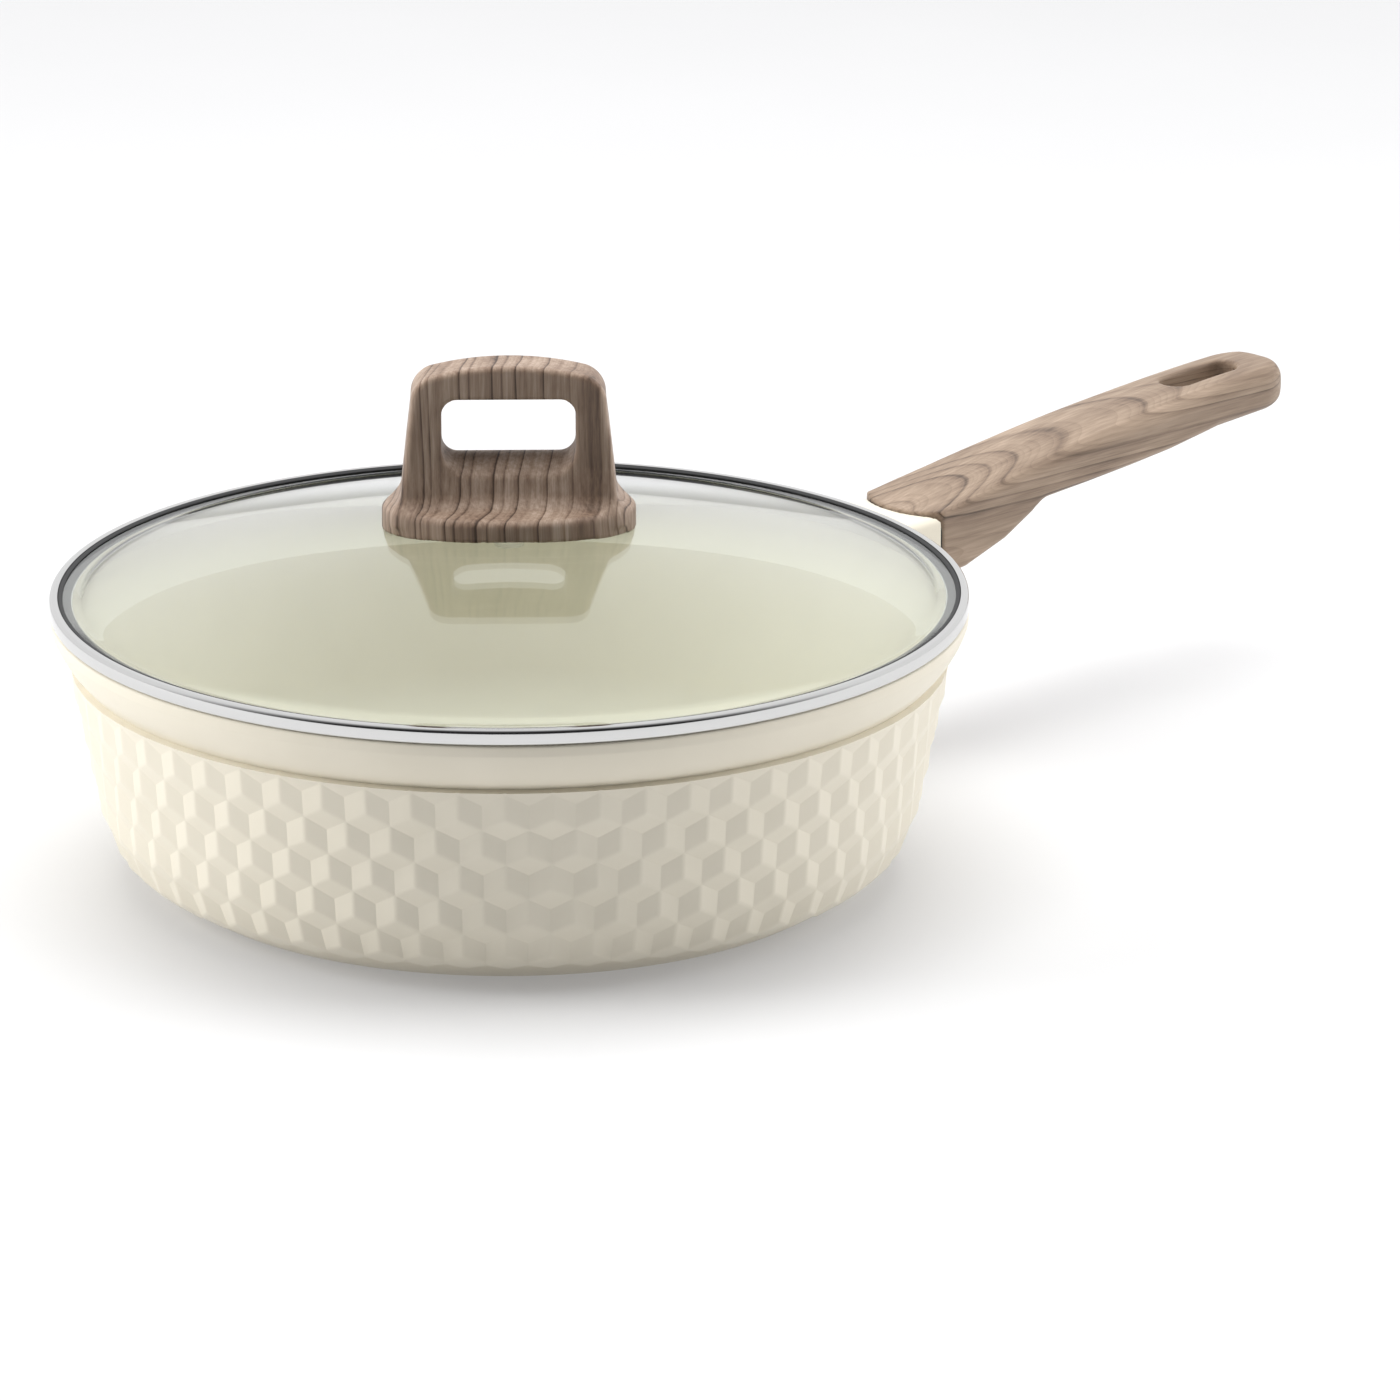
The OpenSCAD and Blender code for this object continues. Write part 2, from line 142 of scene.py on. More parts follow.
def plain_mesh(ob):
    """Turns an object's modifiers into its own mesh"""
    made = bpy.data.meshes.new_from_object(ob.evaluated_get(bpy.context.evaluated_depsgraph_get()))
    ob.modifiers.clear()
    ob.data = made
    return ob


# Depth functions: signed distances into a shape, in millimetres, negative inside

def both(a, b, r=0.01):
    """Where two shapes overlap, with a rounded edge of radius r"""
    return (np.minimum(np.maximum(a, b), -r)
            + np.hypot(np.maximum(a + r, 0), np.maximum(b + r, 0)))


def either(a, b, r=0.01):
    """Two shapes joined, with a hollow fillet of radius r"""
    return -both(-a, -b, r)


def polygon(x, y, corners):
    """Distance into a flat polygon"""
    best, inside = np.full(np.shape(x), 1e9), np.zeros(np.shape(x), bool)
    for (x0, y0), (x1, y1) in zip(corners, corners[1:] + corners[:1]):
        dx, dy = x1 - x0, y1 - y0
        if dx == dy == 0:
            continue
        t = np.clip(((x - x0) * dx + (y - y0) * dy) / (dx * dx + dy * dy), 0, 1)
        best = np.minimum(best, (x - x0 - t * dx)**2 + (y - y0 - t * dy)**2)
        if dy:
            inside ^= ((y0 > y) != (y1 > y)) & (x < x0 + (y - y0) * dx / dy)
    return np.where(inside, -1, 1) * np.sqrt(best)


def moulded(name, depth, lo, hi, step=0.8):
    """A seamless skin where depth(x, y, z) is nought, with a point in each small cube it crosses"""
    axes = [np.arange(a, b + step, step) for a, b in zip(lo, hi)]
    inside = depth(*np.meshgrid(*axes, indexing="ij")) < 0
    cells = [n - 1 for n in inside.shape]
    count = sum(inside[i:i + cells[0], j:j + cells[1], k:k + cells[2]].astype(int)
                for i in (0, 1) for j in (0, 1) for k in (0, 1))
    crossed = (count > 0) & (count < 8)
    index = np.full(crossed.shape, -1)
    index[crossed] = np.arange(crossed.sum())
    points = np.stack([axes[a][w] + step / 2 for a, w in enumerate(np.nonzero(crossed))], 1)
    quads = []
    for a in range(3):
        b, c = (a + 1) % 3, (a + 2) % 3
        here, there = [np.moveaxis(inside, (a, b, c), (0, 1, 2))[s, 1:-1, 1:-1]
                       for s in (slice(None, -1), slice(1, None))]
        turned_index = np.moveaxis(index, (a, b, c), (0, 1, 2))
        for sign, where in ((1, here & ~there), (-1, ~here & there)):
            i, j, k = np.nonzero(where)
            corners = [turned_index[i, j + u, k + v] for u, v in ((0, 0), (1, 0), (1, 1), (0, 1))]
            quads.append(np.stack(corners[::sign], 1))
    quads = np.concatenate(quads)
    for _ in range(4):
        total, near = np.zeros_like(points), np.zeros(len(points))
        for u, v in ((0, 1), (1, 2), (2, 3), (3, 0)):
            for p, q in ((quads[:, u], quads[:, v]), (quads[:, v], quads[:, u])):
                np.add.at(total, p, points[q])
                np.add.at(near, p, 1)
        points = points * 0.4 + 0.6 * total / near[:, None]
        for _ in range(3):
            here = depth(*points.T)
            slope = np.stack([(depth(*(points + e).T) - depth(*(points - e).T)) / 0.1
                              for e in np.eye(3) * 0.05], 1)
            push = here / np.maximum((slope**2).sum(1), 0.2)
            points = points - slope * np.clip(push, -step, step)[:, None]
    return shell(name, points, quads.tolist(), 60)


# ---------------------------------------------------------------- materials

def material(name):
    """An empty node material, and its tree"""
    made = bpy.data.materials.new(name)
    made.use_nodes = True
    made.node_tree.nodes.clear()
    return made, made.node_tree


def ceramic_enamel():
    """Sprayed ceramic enamel on cast aluminium: a satin cream skin, faintly uneven like orange peel."""
    made, tree = material("cream_ceramic_enamel")
    place = add(tree, "ShaderNodeTexCoord", out=3)
    mottle = add(tree, "ShaderNodeTexNoise", {"Vector": place, "Scale": 45, "Detail": 3})
    peel = add(tree, "ShaderNodeTexNoise", {"Vector": place, "Scale": 620, "Detail": 2})
    colour = add(tree, "ShaderNodeMix", {0: mottle, 6: lin("#e2dbc9"), 7: lin("#e9e2d1")}, 2,
                 data_type="RGBA")
    rough = add(tree, "ShaderNodeMapRange", {0: peel, 3: 0.36, 4: 0.46})
    bump = add(tree, "ShaderNodeBump", {"Height": peel, "Strength": 0.25, "Distance": 0.00006})
    skin = add(tree, "ShaderNodeBsdfPrincipled", {
        "Base Color": colour, "Roughness": rough, "Normal": bump, "IOR": 1.5})
    add(tree, "ShaderNodeOutputMaterial", {0: skin}, None)
    return made


def grained_bakelite(name, turn, centre, rise, ring, sway, lines, shades):
    """Moulded phenolic with a wood-grain film: soft satin, with rings that show as thin dark lines.

    turn and centre place the rings' axis, rise leans it and ring is the rings' spacing, in metres.
    sway bends the rings, lines is their strength, and shades run from pale to dark.
    """
    made, tree = material(name)
    place = add(tree, "ShaderNodeTexCoord", out=3)
    # The film's grain runs along X, so the piece is turned to that first
    along = add(tree, "ShaderNodeMapping", {"Vector": place, "Location": centre, "Rotation": turn})
    slow = add(tree, VMATH, {0: along, 1: (0.22, 1, 1)}, operation="MULTIPLY")
    drift = add(tree, "ShaderNodeTexNoise", {"Vector": slow, "Scale": 42, "Detail": 1}, 1)
    drift = add(tree, VMATH, {0: drift, 1: (0.5, 0.5, 0.5)}, operation="SUBTRACT")
    drift = add(tree, VMATH, {0: drift, 3: sway}, operation="SCALE")
    bent = add(tree, VMATH, {0: along, 1: drift})
    across = add(tree, VMATH, {0: bent, 1: (0, 1, 1)}, operation="MULTIPLY")
    radius = add(tree, VMATH, {0: across}, 1, operation="LENGTH")
    # The rings' axis leans, so that they end in pointed arches on a flat face
    length = add(tree, "ShaderNodeSeparateXYZ", {0: along})
    radius = add(tree, MATH, {0: length, 1: rise, 2: radius}, operation="MULTIPLY_ADD")
    rings = add(tree, MATH, {0: radius, 1: 1 / ring}, operation="MULTIPLY")
    # Rings come in uneven widths, with a finer set of faint lines between the dark ones
    uneven = add(tree, "ShaderNodeTexNoise", {"W": rings, "Scale": 0.55, "Detail": 0},
                 noise_dimensions="1D")
    rings = add(tree, MATH, {0: uneven, 1: 2.0, 2: rings}, operation="MULTIPLY_ADD")
    phase = add(tree, MATH, {0: rings}, operation="FRACT")
    late = add(tree, "ShaderNodeValToRGB", {0: phase}, None)
    ramp = late.color_ramp
    ramp.elements[0].position, ramp.elements[0].color = 0.0, (0.3, 0.3, 0.3, 1)
    ramp.elements[1].position, ramp.elements[1].color = 1.0, (0.3, 0.3, 0.3, 1)
    for at, tone in ((0.1, 0.0), (0.5, 0.08), (0.8, 0.38), (0.9, 1.0), (0.95, 0.62)):
        ramp.elements.new(at).color = (tone, tone, tone, 1)
    number = add(tree, MATH, {0: rings}, operation="FLOOR")
    weight = add(tree, "ShaderNodeTexWhiteNoise", {"W": number}, noise_dimensions="1D")
    weight = add(tree, "ShaderNodeMapRange", {0: weight, 3: 0.28 * lines, 4: lines})
    fine = add(tree, MATH, {0: rings, 1: 5.0}, operation="MULTIPLY")
    fine = add(tree, MATH, {0: fine}, operation="FRACT")
    fine = add(tree, MATH, {0: fine, 1: 3.0}, operation="POWER")
    fibre_space = add(tree, VMATH, {0: bent, 1: (36, 900, 900)}, operation="MULTIPLY")
    fibre = add(tree, "ShaderNodeTexNoise", {"Vector": fibre_space, "Scale": 1, "Detail": 4,
                                             "Roughness": 0.65})
    cloud = add(tree, "ShaderNodeTexNoise", {"Vector": slow, "Scale": 100, "Detail": 2})
    tone = add(tree, MATH, {0: fibre, 1: 0.85, 2: -0.42}, operation="MULTIPLY_ADD")
    tone = add(tree, MATH, {0: late.outputs[0], 1: weight, 2: tone}, operation="MULTIPLY_ADD")
    tone = add(tree, MATH, {0: fine, 1: 0.13, 2: tone}, operation="MULTIPLY_ADD")
    tone = add(tree, MATH, {0: cloud, 1: 0.75, 2: tone}, operation="MULTIPLY_ADD")
    film = add(tree, "ShaderNodeValToRGB", {0: tone}, None)
    ramp = film.color_ramp
    ramp.elements[0].position, ramp.elements[0].color = 0.15, lin(shades[0])
    ramp.elements[1].position, ramp.elements[1].color = 1.0, lin(shades[3])
    ramp.elements.new(0.38).color = lin(shades[1])
    ramp.elements.new(0.66).color = lin(shades[2])
    rough = add(tree, "ShaderNodeMapRange", {0: fibre, 3: 0.42, 4: 0.56})
    bump = add(tree, "ShaderNodeBump", {"Height": fibre, "Strength": 0.2, "Distance": 0.00008})
    skin = add(tree, "ShaderNodeBsdfPrincipled", {
        "Base Color": film.outputs[0], "Roughness": rough, "Normal": bump, "IOR": 1.5})
    add(tree, "ShaderNodeOutputMaterial", {0: skin}, None)
    return made


def metal(name, shade, rough_low, rough_high, grit, depth):
    """A bare metal with fine marks of the tool or the tumbler in its gloss."""
    made, tree = material(name)
    place = add(tree, "ShaderNodeTexCoord", out=3)
    marks = add(tree, "ShaderNodeTexNoise", {"Vector": place, "Scale": grit, "Detail": 3})
    rough = add(tree, "ShaderNodeMapRange", {0: marks, 3: rough_low, 4: rough_high})
    bump = add(tree, "ShaderNodeBump", {"Height": marks, "Strength": 0.2, "Distance": depth})
    skin = add(tree, "ShaderNodeBsdfPrincipled", {
        "Base Color": lin(shade), "Metallic": 1.0, "Roughness": rough, "Normal": bump})
    add(tree, "ShaderNodeOutputMaterial", {0: skin}, None)
    return made


def silicone(name, shade, pale):
    """Moulded silicone rubber: matt, with a bloom of fine dust."""
    made, tree = material(name)
    place = add(tree, "ShaderNodeTexCoord", out=3)
    dust = add(tree, "ShaderNodeTexNoise", {"Vector": place, "Scale": 900, "Detail": 3})
    colour = add(tree, "ShaderNodeMix", {0: dust, 6: lin(shade), 7: lin(pale)}, 2, data_type="RGBA")
    rough = add(tree, "ShaderNodeMapRange", {0: dust, 3: 0.5, 4: 0.68})
    bump = add(tree, "ShaderNodeBump", {"Height": dust, "Strength": 0.2, "Distance": 0.00005})
    skin = add(tree, "ShaderNodeBsdfPrincipled", {
        "Base Color": colour, "Roughness": rough, "Normal": bump, "IOR": 1.41})
    add(tree, "ShaderNodeOutputMaterial", {0: skin}, None)
    return made


def tempered_glass():
    """Tempered soda-lime glass: clear with a faint green cast, and a slow ripple from the quench."""
    made, tree = material("tempered_glass")
    place = add(tree, "ShaderNodeTexCoord", out=3)
    ripple = add(tree, "ShaderNodeTexNoise", {"Vector": place, "Scale": 22, "Detail": 1})
    bump = add(tree, "ShaderNodeBump", {"Height": ripple, "Strength": 0.3, "Distance": 0.00004})
    glass = add(tree, "ShaderNodeBsdfPrincipled", {
        "Base Color": lin("#fafdf9"), "Roughness": 0.0, "IOR": 1.52,
        "Transmission Weight": 1.0, "Normal": bump})
    # Lamps reach the food through the lid
    clear = add(tree, "ShaderNodeBsdfTransparent", {0: lin("#eff3f2")})
    ray = add(tree, "ShaderNodeLightPath", out=1)
    both_ways = add(tree, "ShaderNodeMixShader", {0: ray, 1: glass, 2: clear})
    add(tree, "ShaderNodeOutputMaterial", {0: both_ways}, None)
    return made


ENAMEL = ceramic_enamel()
HANDLE_WOOD = grained_bakelite(
    "handle_wood_grain_bakelite", (0, 0, 0), (-0.168, 0.002, -0.0665), 0.04, 0.0032, 0.0022, 0.6,
    ("#ae9885", "#9a8673", "#836f5e", "#54453a"))
# The lid handle's grain stands upright, about an axis behind it
UPRIGHT = (Matrix.Rotation(radians(90), 3, "Y") @ Matrix.Rotation(-LID_TURN, 3, "Z")).to_euler()
KNOB_WOOD = grained_bakelite(
    "lid_handle_wood_grain_bakelite", UPRIGHT, (-0.14, -0.010, -0.065), 0.05, 0.0042, 0.0050, 0.78,
    ("#b6a292", "#9f8a79", "#826c5c", "#46372e"))
STEEL = metal("polished_stainless_steel", "#d4d4d3", 0.07, 0.13, 700, 0.00001)
ZINC = metal("zinc_plated_steel", "#bfc1c2", 0.26, 0.42, 1500, 0.00003)
BASE_STEEL = metal("rolled_base_steel", "#b4b3b0", 0.3, 0.45, 1300, 0.00004)
BRASS = metal("turned_brass", "#c9a25c", 0.22, 0.36, 1500, 0.00003)
DARK_RUBBER = silicone("dark_silicone", "#2a2a2b", "#3a3a3b")
GREY_RUBBER = silicone("grey_silicone", "#6d6c68", "#83827d")
GASKET = silicone("heat_gasket_fibre", "#262220", "#3a332f")
GLASS = tempered_glass()

NODE_FINISH = {
    "induction_plate": BASE_STEEL, "handle_gasket": GASKET, "lug_thread_insert": ZINC,
    "handle_washer": ZINC, "handle_spring_washer": ZINC, "handle_screw": ZINC,
    "lid_handle_insert": BRASS, "lid_handle_pad": GREY_RUBBER, "lid_grommet": GREY_RUBBER,
    "lid_washer": STEEL, "lid_spring_washer": STEEL, "lid_screw": STEEL,
}
for node, finish in NODE_FINISH.items():
    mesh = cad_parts[node].data
    mesh.materials.clear()
    mesh.materials.append(finish)


# ---------------------------------------------------------------- the pan

def wall_point(v, out=0.0):
    """A point of the outside v millimetres down the slope from the collar's foot, moved outwards"""
    lean = LEAN + max(v - WALL_RUN, 0) / BELLY_R
    up = max(WALL_RUN - v, 0)
    return (BELLY_C[0] + (BELLY_R + out) * cos(lean) + up * sin(LEAN),
            BELLY_C[1] - (BELLY_R + out) * sin(lean) + up * cos(LEAN))


def ease(t):
    """A smooth step from 0 to 1"""
    t = min(max(t, 0), 1)
    return t * t * (3 - 2 * t)


def pan_core():
    """The cast pan without its facets: base band, collar, lip and the smooth inside"""
    under = -1.3                                        # the facets' own shell covers the wall
    base_v = WALL_RUN + BELLY_R * (asin(BELLY_C[1] / BELLY_R) - LEAN)
    outside = [(0, 1.2), (92.05, 1.2), (92.05, 0.3), (92.4, 0), (103.9, 0), (104.6, 0.12)]
    for v in np.linspace(base_v - 0.6, 60, 26):
        outside.append(wall_point(v, under * (1 - ease((v - 63) / 12))))
    outside += [wall_point(v, under) for v in np.linspace(57, 4, 10)]
    outside += arc((139.59, 65.16), 7.0, 168.5, 136, 10)
    outside += bow((134.75, 70.2), (LIP_R, PAN_H - 3), 32, 16)
    outside += arc((141.2, 84.2), 0.8, 0, 90, 5)

    def inner(z):
        return WALL_R - (COLLAR_Z - z) * tan(LEAN) - WALL_T / cos(LEAN)

    corner = (inner(30) - 24 / cos(LEAN), 30)
    inside = arc(corner, 24, -90, -11.5, 20)
    inside += bow((inner(68), 68), (137.4, 80.5), 26, 12)
    inside += [(137.4, 83.9), (137.6, 84.6), (138.1, PAN_H)]
    return turned("pan_body_cast", outside + inside[::-1] + [(0, 6)], 256)


def facet_cell():
    """One tile of the pattern: a point with three flat lozenges round it, one unit high"""
    ring = arc((0, 0), 2 / 3, 90, -270, 6)[:6]
    points = [(x, y, -1.0 if i % 2 else 0.0) for i, (x, y) in enumerate(ring)] + [(0, 0, 1.0)]
    return points, [(6, 0, 5, 4)[::-1], (6, 2, 1, 0)[::-1], (6, 4, 3, 2)[::-1]]


def facet_tree():
    """Geometry Nodes: tiles set in staggered rows, then wrapped round the leaning wall and the belly"""
    tree = bpy.data.node_groups.new("facets_round_the_wall", "GeometryNodeTree")
    face = tree.interface
    face.new_socket("Tile", in_out="INPUT", socket_type="NodeSocketGeometry")
    for name, kind in (("Tiles Around", "Int"), ("Rows", "Int"), ("Row Height", "Float"),
                       ("First Row", "Float"), ("First Angle", "Float"), ("Relief", "Float"),
                       ("Wall Run", "Float"), ("Lean", "Float"), ("Belly Radius", "Float"),
                       ("Belly Centre", "Vector"), ("Fade", "Float"), ("Material", "Material")):
        face.new_socket(name, in_out="INPUT", socket_type="NodeSocket" + kind)
    face.new_socket("Facets", in_out="OUTPUT", socket_type="NodeSocketGeometry")
    given = add(tree, "NodeGroupInput", out=None).outputs
    count = add(tree, MATH, {0: given["Tiles Around"], 1: given["Rows"]}, operation="MULTIPLY")
    line = add(tree, "GeometryNodeMeshLine", {"Count": count})
    index = add(tree, "GeometryNodeInputIndex")
    row = add(tree, MATH, {0: index, 1: given["Tiles Around"]}, operation="DIVIDE")
    row = add(tree, MATH, {0: row}, operation="FLOOR")
    column = add(tree, MATH, {0: index, 1: given["Tiles Around"]}, operation="MODULO")
    odd = add(tree, MATH, {0: row, 1: 2.0}, operation="MODULO")
    column = add(tree, MATH, {0: odd, 1: 0.5, 2: column}, operation="MULTIPLY_ADD")
    # One tile is 2/sqrt(3) wide where a row is 1 high
    x = add(tree, MATH, {0: column, 1: 2 / sqrt(3)}, operation="MULTIPLY")
    y = add(tree, MATH, {0: row, 1: -1.0}, operation="MULTIPLY")
    spots = add(tree, "GeometryNodeSetPosition", {
        "Geometry": line, "Position": add(tree, "ShaderNodeCombineXYZ", {0: x, 1: y})})
    tiles = add(tree, "GeometryNodeInstanceOnPoints", {"Points": spots, "Instance": given["Tile"]})
    tiles = add(tree, "GeometryNodeRealizeInstances", {"Geometry": tiles})
    at = add(tree, "ShaderNodeSeparateXYZ", {0: add(tree, "GeometryNodeInputPosition")}, None).outputs
    step = add(tree, MATH, {0: 2 * pi * sqrt(3) / 2, 1: given["Tiles Around"]}, operation="DIVIDE")
    angle = add(tree, MATH, {0: at[0], 1: step, 2: given["First Angle"]}, operation="MULTIPLY_ADD")
    down = add(tree, MATH, {0: at[1], 1: -1.0}, operation="MULTIPLY")
    v = add(tree, MATH, {0: down, 1: given["Row Height"], 2: given["First Row"]},
            operation="MULTIPLY_ADD")
    # The relief fades in under the collar
    fade = add(tree, "ShaderNodeMapRange", {0: v, 1: 0.0015, 2: given["Fade"], 3: 0.05, 4: 1.0},
               interpolation_type="SMOOTHSTEP")
    relief = add(tree, MATH, {0: given["Relief"], 1: fade}, operation="MULTIPLY")
    out = add(tree, MATH, {0: at[2], 1: relief}, operation="MULTIPLY")
    past = add(tree, MATH, {0: v, 1: given["Wall Run"]}, operation="SUBTRACT")
    bend = add(tree, MATH, {0: past, 1: 0.0}, operation="MAXIMUM")
    bend = add(tree, MATH, {0: bend, 1: given["Belly Radius"]}, operation="DIVIDE")
    lean = add(tree, MATH, {0: bend, 1: given["Lean"]}, operation="ADD")
    up = add(tree, MATH, {0: add(tree, MATH, {0: past, 1: 0.0}, operation="MINIMUM"), 1: -1.0},
             operation="MULTIPLY")
    reach = add(tree, MATH, {0: given["Belly Radius"], 1: out}, operation="ADD")
    centre = add(tree, "ShaderNodeSeparateXYZ", {0: given["Belly Centre"]}, None).outputs
    sides = []
    for trig, sign, base in (("COSINE", 1.0, centre[0]), ("SINE", -1.0, centre[2])):
        other = "SINE" if trig == "COSINE" else "COSINE"
        arm = add(tree, MATH, {0: add(tree, MATH, {0: lean}, operation=trig), 1: reach},
                  operation="MULTIPLY")
        arm = add(tree, MATH, {0: arm, 1: sign, 2: base}, operation="MULTIPLY_ADD")
        rise = add(tree, MATH, {0: given["Lean"]}, operation=other)
        sides.append(add(tree, MATH, {0: rise, 1: up, 2: arm}, operation="MULTIPLY_ADD"))
    spot = [add(tree, MATH, {0: add(tree, MATH, {0: angle}, operation=o), 1: sides[0]},
                operation="MULTIPLY") for o in ("COSINE", "SINE")]
    wrapped = add(tree, "GeometryNodeSetPosition", {
        "Geometry": tiles,
        "Position": add(tree, "ShaderNodeCombineXYZ", {0: spot[0], 1: spot[1], 2: sides[1]})})
    sewn = add(tree, "GeometryNodeMergeByDistance", {"Geometry": wrapped, "Distance": 0.00002})
    whole = add(tree, "GeometryNodeRealizeInstances", {"Geometry": sewn})
    done = add(tree, "GeometryNodeSetMaterial", {"Geometry": whole, "Material": given["Material"]})
    add(tree, "NodeGroupOutput", {0: done}, None)
    return tree


def facets():
    """The faceted wall as a thin closed shell: soft edges, trimmed under the collar"""
    points, faces = facet_cell()
    ob = shell("facets", np.array(points) / MM, faces)
    nodes = ob.modifiers.new("facets", "NODES")
    nodes.node_group = facet_tree()
    row, first_seam = 11.95, 0.9
    values = {"Tiles Around": 60, "Rows": 6, "Row Height": row * MM,
              "First Row": (first_seam + row * (-1 + 2 / 3)) * MM, "First Angle": radians(1.0),
              "Relief": 0.9 * MM, "Wall Run": WALL_RUN * MM, "Lean": LEAN,
              "Belly Radius": BELLY_R * MM,
              "Belly Centre": (BELLY_C[0] * MM, 0.0, BELLY_C[1] * MM),
              "Fade": 7 * MM, "Material": ENAMEL}
    for item in nodes.node_group.interface.items_tree:
        if item.name in values:
            nodes[item.identifier] = values[item.name]
    plain_mesh(ob)
    bev = ob.modifiers.new("coated edges", "BEVEL")
    bev.width, bev.segments, bev.limit_method, bev.angle_limit = 0.45 * MM, 2, "ANGLE", radians(8)
    plain_mesh(ob)
    form = bmesh.new()
    form.from_mesh(ob.data)
    bmesh.ops.bisect_plane(form, geom=form.verts[:] + form.edges[:] + form.faces[:],
                           plane_co=(0, 0, COLLAR_Z * MM), plane_no=(0, 0, 1), clear_outer=True)
    form.to_mesh(ob.data)
    form.free()
    # The thickness comes out on the outside of the facets. The skin stands off the core, with a
    # narrow gap behind it, and meets the core only at the collar and near the base.
    wall = ob.modifiers.new("wall", "SOLIDIFY")
    wall.thickness, wall.offset, wall.use_even_offset = SHELL_T * MM, -1, False
    return plain_mesh(ob)


def lug():
    """The cast lug: a rounded bar that widens into the wall, hollowed where the handle's root sits"""
    plan = ([(124, -27.5)] + arc((158, -37.5), 20, 155, 90, 10) + [(176, -17.5), (176, 17.5)]
            + arc((158, 37.5), 20, 270, 205, 10) + [(124, 27.5)])

    def depth(x, y, z):
        slab = np.abs(z - 69.25) - 10.75
        body = both(polygon(x, y, plan), slab, 2.6)
        # It stops inside the thickness of the wall
        wall = np.interp(z, (58, 68, 72, 76, 82), (129.2, 131.0, 134.6, 137.4, 139.6))
        body = both(body, wall - np.hypot(x, y))
        return both(body, JOINT_R + 0.8 - np.hypot(x - JOINT_C, y), 0.4)
    return moulded("lug", depth, (122, -30, 56), (178, 30, 82), 0.8)


def pan():
    """The whole casting: core, lug and faceted skin, joined where they cross"""
    core = pan_core()
    for part in (facets(), lug()):
        cut = core.modifiers.new("cast in one", "BOOLEAN")
        cut.operation, cut.solver, cut.object = "UNION", "EXACT", part
        plain_mesh(core)
        bpy.data.objects.remove(part)
    core.data.set_sharp_from_angle(angle=radians(32))
    even = core.modifiers.new("even shading", "WEIGHTED_NORMAL")
    even.keep_sharp = True
    return plain_mesh(core)


finished(pan(), "pan", ENAMEL, "enamelled_aluminium", "pan_body")


# ---------------------------------------------------------------- the long handle

HANDLE_SIDE = ([(168, 58.5), (186, 59.8), (205, 65.0), (218, 71.0)]
               + arc((226.5, 66.3), 8.6, 130, 94, 6)
               + [(245, 75.9), (265, 77.3), (285, 79.1), (308, 82.4)]
               + arc((339.2, 90.4), 7.2, -80, 85, 14)
               + bow((338, 97.6), (168, 80.5), 950, 24))
HANDLE_PLAN = ([(160, -17.5), (184, -17.5), (330, -14.5)]
               + [(330 + 16.9 * sin(radians(a)), -14.5 * cos(radians(a))) for a in range(4, 180, 4)]
               + [(330, 14.5), (184, 17.5), (160, 17.5)])


def long_handle_depth(x, y, z):
    """The long handle: side and plan views crossed, crowned on top, slotted at its end"""
    half = np.interp(x, (184, 331.5), (17.5, 14.5))
    crown = (np.interp(x, (172, 200, 280, 330), (0.3, 1.2, 1.6, 0.9))
             * np.minimum(np.abs(y) / half, 1.2)**2)
    upper = np.clip((z - 74) / 8, 0, 1)
    side = polygon(x, z + crown * upper - 1.2 * (1 - upper) * (y / half)**2, HANDLE_SIDE)
    # Crisp at the joint, soft in the hand
    edge = np.interp(x, (172, 225, 300), (1.6, 3.8, 4.6))
    bar = both(side, polygon(x, y, HANDLE_PLAN), edge)
    root = np.where(x < JOINT_C, np.hypot(x - JOINT_C, y) - JOINT_R, -20)
    bar = both(bar, root, 0.4)
    slot = np.hypot(np.maximum(np.abs(x - SLOT_X) - SLOT_RUN, 0), y) - SLOT_R
    return both(bar, -slot, 1.3)


handle = moulded("long_handle_grained", long_handle_depth, (166, -20, 55), (348, 20, 100), 0.9)
finished(handle, "pan", HANDLE_WOOD, "wood_grain_bakelite", "long_handle")


# ---------------------------------------------------------------- the lid

def dome(r):
    """Height of the glass's top face: a round crown that straightens towards the edge"""
    return DOME_TOP - CROWN_B**2 / CROWN_R * (np.sqrt(1 + (r / CROWN_B)**2) - 1)


def dome_under(r):
    """Height of the glass's underside, an even thickness below the top face"""
    slope = r / CROWN_R / np.sqrt(1 + (r / CROWN_B)**2)
    return dome(r) - GLASS_T * np.sqrt(1 + slope**2)


def glass_outline():
    """Section of the glass: dome, flat flange with a round edge, and the centre hole"""
    top = [(r, dome(r)) for r in np.linspace(5.4, DOME_R - 2, 44)]
    top += [(DOME_R - 0.6, FLANGE_TOP + 0.28), (DOME_R + 0.6, FLANGE_TOP + 0.08),
            (DOME_R + 2, FLANGE_TOP)]
    below = [(132.6, 85.95), (131.6, 86.25)] + [(r, dome_under(r)) for r in np.linspace(130, 5.4, 44)]
    return ([(5.0, dome_under(5) + 0.4), (5.0, dome(5) - 0.4)] + top
            + arc((139.4, 87.55), 1.7, 90, -90, 10) + [(134, 85.8)] + below)[::-1]


finished(turned("lid_glass_dome", glass_outline(), 256, 50), "lid", GLASS, "tempered_glass",
         "lid_glass")


def band_outline():
    """Section of the steel band: skirt, shelf under the glass, and a hem rolled over its edge"""
    return ([(134.6, 81.4), (134.85, 81.25), (135.1, 81.4), (135.2, 84.6), (135.6, 85.0), (140.6, 85.0)]
            + arc((140.9, 86.3), 1.3, -85, 0, 8) + arc((140.8, 88.7), 1.4, 0, 90, 9)
            + [(139.9, 90.1)] + arc((139.75, 89.85), 0.25, 90, 270, 5)
            + arc((140.8, 88.7), 0.9, 90, 0, 6) + [(141.7, 86.4), (140.9, 85.5), (134.7, 85.5)])


finished(turned("lid_rim_band_rolled", band_outline(), 320, 50), "lid", STEEL, "polished_steel",
         "lid_rim_band")


